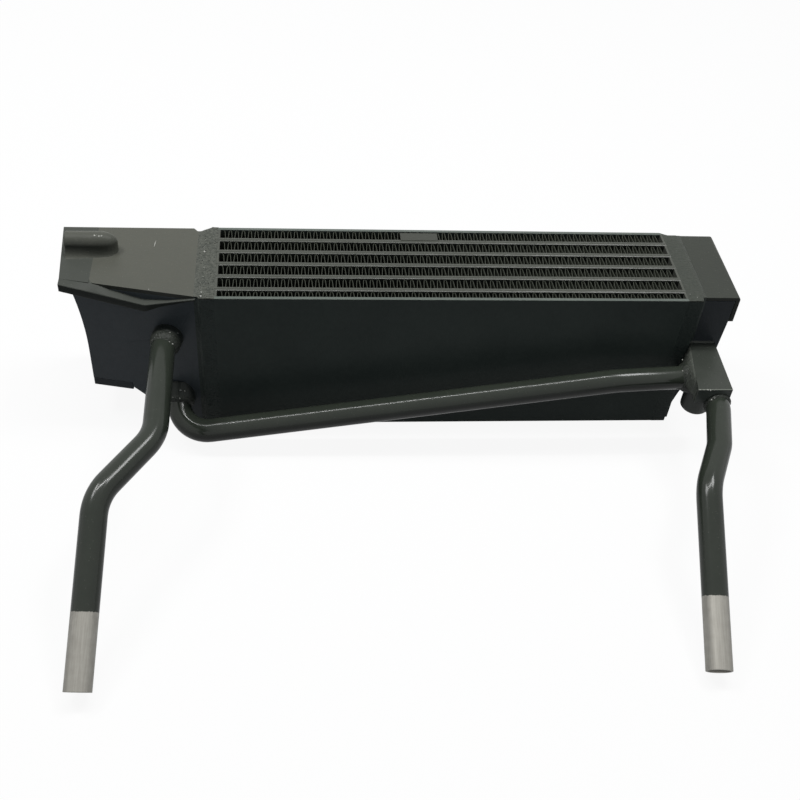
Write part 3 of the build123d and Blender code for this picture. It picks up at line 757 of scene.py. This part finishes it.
# ---- Core beads ---------------------------------------------------------------------------
# Wide beads over the joints of the core and the tanks, up the near side, over the top and down
# the far side. Each has a small notch at the upper far edge: its middle, half its flat, its
# slopes away from the core and towards it, and its depth.
CORE_TOE, TANK_TOE = 14.0, 4.0
NOTCHES = {-1: (-232.0, 1.5, 5.0, 10.0, 4.5), 1: (224.5, 4.5, 8.5, 7.5, 3.0)}
SIDE_STEPS, TOP_STEPS, CORNER_STEPS = 380, 278, 7
ROPE_X, ROPE_FOOT = -227.0, 62.0
PITS_X, PITS_Z = -222.6, 87.0


def core_bead(side, proud, near_proud, swell, near_swell, peak, seed):
    """The bead of one tank, one strip up the near side, over the top and down the far side. Its
    base line is the outline of the core, or of the tank beyond the joint, with the two upper
    corners turned through a quarter circle of normals. Across it, s runs from the core's toe to
    the tank's, and the crown rises as s (1 - s) to a peak place, times proud, with ripples of
    swell on it. The left one has a rope and a patch of pits on its near side. Points in the
    notch at the upper far edge are pushed in along its bisector."""
    s = np.linspace(0, 1, 17)[None]
    x = side * (CORE_HALF - CORE_TOE + (CORE_TOE + TANK_TOE) * s)
    beyond = side * x > CORE_HALF
    near = np.where(beyond, -RIGHT_HALF_WIDTH if side > 0 else tank_near_y(x), -CORE_Y)
    far = np.where(beyond, RIGHT_HALF_WIDTH if side > 0 else LEFT_HALF_WIDTH, CORE_Y)
    top_end = CORE_DEPTH + 2 * CORE_Y
    length_end = top_end + CORE_DEPTH
    length = np.concatenate([np.linspace(0, CORE_DEPTH, SIDE_STEPS),
                             np.full(CORNER_STEPS, CORE_DEPTH),
                             np.linspace(CORE_DEPTH, top_end, TOP_STEPS + 2)[1:-1],
                             np.full(CORNER_STEPS, top_end),
                             np.linspace(top_end, length_end, SIDE_STEPS)])[:, None]
    quarter = np.linspace(0, pi / 2, CORNER_STEPS + 2)[1:-1]
    turn = np.concatenate([np.zeros(SIDE_STEPS), quarter, np.full(TOP_STEPS, pi / 2),
                           quarter + pi / 2, np.full(SIDE_STEPS, pi)])[:, None]
    part = np.clip((length - CORE_DEPTH) / (2 * CORE_Y), 0, 1)
    base_y = near + (far - near) * part
    base_z = np.clip(np.minimum(length, length_end - length), 0, CORE_DEPTH)
    top = np.sin(turn)
    height = near_proud + (proud - near_proud) * top
    rough = near_swell + (swell - near_swell) * top
    ends = np.clip(base_z / 8.0, 0, 1) ** 0.5
    hill = np.where(s < peak, np.sin(s / peak * pi / 2), np.cos((s - peak) / (1 - peak) * pi / 2))
    hill = np.clip(hill, 0, 1) ** 0.8
    wave = ripples(length, 2 * s - 1, 3.3, seed) - 0.5
    fine = ripples(length + 4.7 * s, 3 * s - 1, 1.7, seed + 1) - 0.5
    far_fade = 1 - 0.75 * np.clip((part - 0.86) / 0.14, 0, 1)
    lift = (height * hill + rough * hill * (wave + 0.5 * fine)) * ends * far_fade
    if side < 0:
        rope = np.exp(-((x - ROPE_X) / 1.3) ** 2) * np.clip((base_z - ROPE_FOOT) / 6, 0, 1)
        pits = (np.clip(1 - np.abs(x - PITS_X) / 4.5, 0, 1)
                * np.clip(1 - np.abs(base_z - PITS_Z) / 18, 0, 1) ** 0.5)
        on_near = (1 - top) * (base_y < 0)
        lift += on_near * (rope * (0.35 + 0.5 * fine) + pits * (0.9 * wave + 1.1 * fine))
    lift = np.maximum(lift, 0.02)
    middle, flat, outer, inner, depth = NOTCHES[side]
    off = side * (x - middle)
    gap = depth * np.clip(1 - np.where(off > 0, (off - flat) / outer, (-off - flat) / inner), 0, 1)
    grids = []
    for out, sunk in ((lift, 0.15), (np.full_like(lift, -1.0), 1.2)):
        y = base_y - out * np.cos(turn)
        z = base_z + out * np.sin(turn)
        depth_in = ((CORE_Y - y) + (CORE_DEPTH - z)) * 0.7071
        push = np.where(gap > 0, np.clip(gap + sunk - depth_in, 0, None), 0) * 0.7071
        grids.append(np.stack([np.broadcast_to(x, y.shape), y - push, z - push], -1))
    return bead(*grids)


finished("left_bead", *core_bead(-1, 0.9, 0.3, 1.0, 0.2, 0.55, 21), rough_weld, "paint",
         ["left_core_weld"], 70.0)
finished("right_bead", *core_bead(1, 0.8, 0.6, 0.3, 0.2, 0.78, 31), plain_weld, "paint",
         ["right_core_weld"], 70.0)

# ---- Junction welds -----------------------------------------------------------------------
# Welds round the ends of the bypass and the inlet, a bead along the back of the block's top, and
# metal heaped down the block's left side, as far as the bypass's end and the pot.
BYPASS_END = np.array([227.5, -76.3, 81.9])
finished("bypass_end_weld", *ring_weld(BYPASS_END, (-86, -2, -4), 0.0, 15.0, 10.9, 10.0, 51),
         dark_weld, "paint", [])
INLET_EXIT = np.array([242.8, -113.5, 83.0])
finished("inlet_end_weld", *ring_weld(INLET_EXIT, (1.5, -42, 0), 0.0, 12.7, 10.9, 3.5, 52),
         dark_weld, "paint", [])

HEAP_START = (228.9, -54.0)
reach, s = np.meshgrid(np.linspace(0, 1, 70), np.linspace(0, 1, 13), indexing="ij")
edge_x = HEAP_START[0] - 7.6 * reach
edge_y = HEAP_START[1] - 57.0 * reach
heap = 5.5 * np.sin(pi * np.clip(reach * 1.05 + 0.1, 0, 1)) ** 0.7 + 1.2
lift = (ripples(60 * reach, 2 * s - 1, 5.1, 61) - 0.4) * np.sin(pi * s) * 1.8
side_crown = np.stack([edge_x + 0.8 - heap * s ** 0.7 - lift * 0.7, edge_y,
                       100.8 - 17.0 * s ** 1.6 + lift * 0.7], -1)
side_root = side_crown + [3.5, 0, -3.0]
finished("block_side_weld", *bead(side_crown, side_root), side_weld, "paint", [], 70.0)

run, s = np.meshgrid(np.linspace(CORE_HALF + 2.0, CORE_HALF + 25.0, 60), np.linspace(0, 1, 9),
                     indexing="ij")
lift = ripples(run, 2 * s - 1, 2.4, 41) * np.sin(pi * s) * 0.3
block_crown = np.stack([run, -47.9 - 1.6 * (1 - s) - lift * 0.5, 101.0 + 1.5 * s + lift * 0.5], -1)
block_root = np.stack([run, -47.4 + 0 * s, 100.6 + 0.4 * s], -1)
finished("block_bead", *bead(block_crown, block_root), side_weld, "paint", ["block_weld"], 70.0)

# ---- Spatter ------------------------------------------------------------------------------
# Drops of spatter on the welds, and one short scratch on the cover, coloured light grey: painted
# glints. Each drop is its centre and its radius.
# Light grey colour that stands in for glints: painted highlights.
glint_spot, glint_tree, glint_shader = new_material("glint_spot", 0.5)
spot_noise = noise(glint_tree, object_place(glint_tree), 900.0)
glint_tree.links.new(blend_tones(glint_tree, spot_noise, (0.50, 0.50, 0.46), (0.34, 0.34, 0.31)),
                    glint_shader.inputs["Base Color"])
glint_tree.links.new(remap(glint_tree, spot_noise, 0.3, 0.7, 0.15, 0.3),
                    glint_shader.inputs["Roughness"])
drops = [(-225.5, 31.4, 156.0, 0.55), (-226.5, 20.0, 156.0, 0.4), (-225.6, 13.0, 156.2, 1.1),
         (-225.0, -10.0, 156.0, 0.55), (-225.2, -23.5, 156.0, 0.45), (-225.8, -45.4, 156.0, 0.8),
         (-226.0, -50.8, 155.7, 1.15), (-230.2, -36.9, 155.3, 0.35), (-227.5, -32.4, 155.8, 0.4),
         (-271.5, -40.6, 155.0, 0.5), (-321.8, 13.6, 172.2, 1.2), (-320.0, 14.4, 172.3, 0.9),
         (-317.8, 13.0, 172.1, 1.1), (-315.6, 13.4, 172.3, 0.9),
         (-255.1, -62.8, 113.6, 0.7), (-252.4, -63.4, 111.6, 0.7), (-254.8, -55.0, 117.9, 0.6),
         (-248.3, -51.9, 114.4, 0.6), (-250.1, -55.3, 46.9, 0.9), (-246.3, -55.3, 45.8, 0.7),
         (-257.2, -60.5, 42.8, 0.6), (-250.7, -61.7, 42.5, 0.7), (234.3, -117.0, 91.5, 0.8),
         (237.2, -116.2, 93.0, 0.7), (217.1, -79.1, 92.4, 0.7), (219.8, -66.0, 94.5, 0.7),
         (221.8, -113.6, 100.9, 0.6), (225.6, -113.6, 100.7, 0.5), (229.3, -113.7, 100.8, 0.9),
         (231.9, -113.7, 100.4, 0.8), (235.6, -113.6, 100.8, 0.4), (223.0, -48.4, 155.8, 0.45),
         (217.5, -43.4, 155.6, 0.35)]


def joined(parts):
    """One list of points and faces from several."""
    points, faces, base = [], [], 0
    for part_points, part_faces in parts:
        part_faces = outward(part_points, part_faces)
        faces += [[base + i for i in face] for face in part_faces]
        points.append(part_points)
        base += len(part_points)
    return np.concatenate(points), faces


ball = np.linspace(-1, 1, 7)
drop_parts = []
for *spot, size in drops:
    drop_outline = [(size * a, size * max((1 - a * a) ** 0.5, 0.05)) for a in ball]
    drop_parts.append(weave(turned(drop_outline, spot, (0, 0, 1), 10), caps=True))
scratch_outline = [(-4.7, 0.05), (-4.0, 0.3), (0.0, 0.42), (3.0, 0.25), (4.7, 0.05)]
drop_parts.append(weave(turned(scratch_outline, (-271.0, 26.8, 155.0), (0.12, 1, 0), 8),
                        caps=True))
finished("spatter", *joined(drop_parts), glint_spot, "bare_metal", [], 60.0)

# ---- Floor, light and camera --------------------------------------------------------------
# A plain pale floor with the object's soft shadow, a soft lamp overhead at each side, a narrow
# one between them for the light along the pipes, and the photograph's viewpoint.
CAMERA_PLACE = (-0.155385265, -0.808913325, 0.77035757)
CAMERA_TURN = ((0.994343877, 0.004600264, -0.10610887),
               (-0.079066986, 0.699113618, -0.710625471),
               (0.070913091, 0.714995794, 0.695523075))
CAMERA_LENS = 49.5


def seen_directly(tree, mirrored=1.0):
    """1 where the ray comes from the camera or through glass, mirrored where it comes from a
    glossy surface, 0 for other light."""
    path = tree.nodes.new("ShaderNodeLightPath")
    gloss = compute(tree, "MULTIPLY", path.outputs["Is Glossy Ray"], mirrored)
    seen = compute(tree, "MAXIMUM", path.outputs["Is Camera Ray"], gloss)
    return compute(tree, "MAXIMUM", seen, path.outputs["Is Transmission Ray"])


floor_mesh = bpy.data.meshes.new("floor")
floor_mesh.from_pydata([(-6, -6, -0.0002), (6, -6, -0.0002), (6, 6, -0.0002), (-6, 6, -0.0002)],
                       [], [(0, 1, 2, 3)])
floor = bpy.data.objects.new("floor", floor_mesh)
bpy.context.scene.collection.objects.link(floor)
floor_paint = bpy.data.materials.new("pale_floor")
floor_paint.use_nodes = True
floor_tree = floor_paint.node_tree
floor_tree.nodes.clear()
seen = seen_directly(floor_tree, 0.5)
sheet = floor_tree.nodes.new("ShaderNodeBsdfDiffuse")
floor_tree.links.new(blend_tones(floor_tree, seen, (0.07, 0.074, 0.078), (1.0, 1.0, 1.0)),
                     sheet.inputs["Color"])
glow = floor_tree.nodes.new("ShaderNodeEmission")
part = floor_tree.nodes.new("ShaderNodeMixShader")
floor_tree.links.new(compute(floor_tree, "MULTIPLY", seen, 0.92), part.inputs[0])
floor_tree.links.new(sheet.outputs[0], part.inputs[1])
floor_tree.links.new(glow.outputs[0], part.inputs[2])
floor_tree.links.new(part.outputs[0],
                     floor_tree.nodes.new("ShaderNodeOutputMaterial").inputs["Surface"])
floor_mesh.materials.append(floor_paint)

world = bpy.data.worlds.new("studio")
bpy.context.scene.world = world
world.use_nodes = True
air = world.node_tree
air.nodes.clear()
far = air.nodes.new("ShaderNodeBackground")
air.links.new(blend_tones(air, seen_directly(air), (0.056, 0.066, 0.076), (1.0, 1.0, 1.0)),
              far.inputs["Color"])
air.links.new(far.outputs[0], air.nodes.new("ShaderNodeOutputWorld").inputs["Surface"])


def lamp(name, place, target, width, depth, power):
    """A soft rectangular lamp that points at a target."""
    data = bpy.data.lights.new(name, "AREA")
    data.shape = "RECTANGLE"
    data.size, data.size_y = width, depth
    data.energy = power
    lamp_object = bpy.data.objects.new(name, data)
    facing = (Vector(place) - Vector(target)).to_track_quat("Z", "Y")
    lamp_object.matrix_world = Matrix.Translation(place) @ facing.to_matrix().to_4x4()
    bpy.context.scene.collection.objects.link(lamp_object)


lamp("left_lamp", (-1.25, 0.32, 2.0), (0.0, 0.0, 0.1), 0.7, 0.5, 16.5)
lamp("right_lamp", (0.72, 0.26, 2.1), (0.0, 0.0, 0.1), 0.6, 0.5, 18.0)
lamp("strip_lamp", (-0.28, 0.17, 2.0), (-0.28, 0.17, 0.0), 1.24, 0.08, 14.0)

eye = bpy.data.cameras.new("viewpoint")
eye.lens = CAMERA_LENS
eye.sensor_width = 36.0
camera = bpy.data.objects.new("viewpoint", eye)
camera.matrix_world = Matrix.Translation(CAMERA_PLACE) @ Matrix(CAMERA_TURN).to_4x4()
bpy.context.scene.collection.objects.link(camera)
bpy.context.scene.camera = camera
bpy.context.scene.view_settings.view_transform = "Standard"
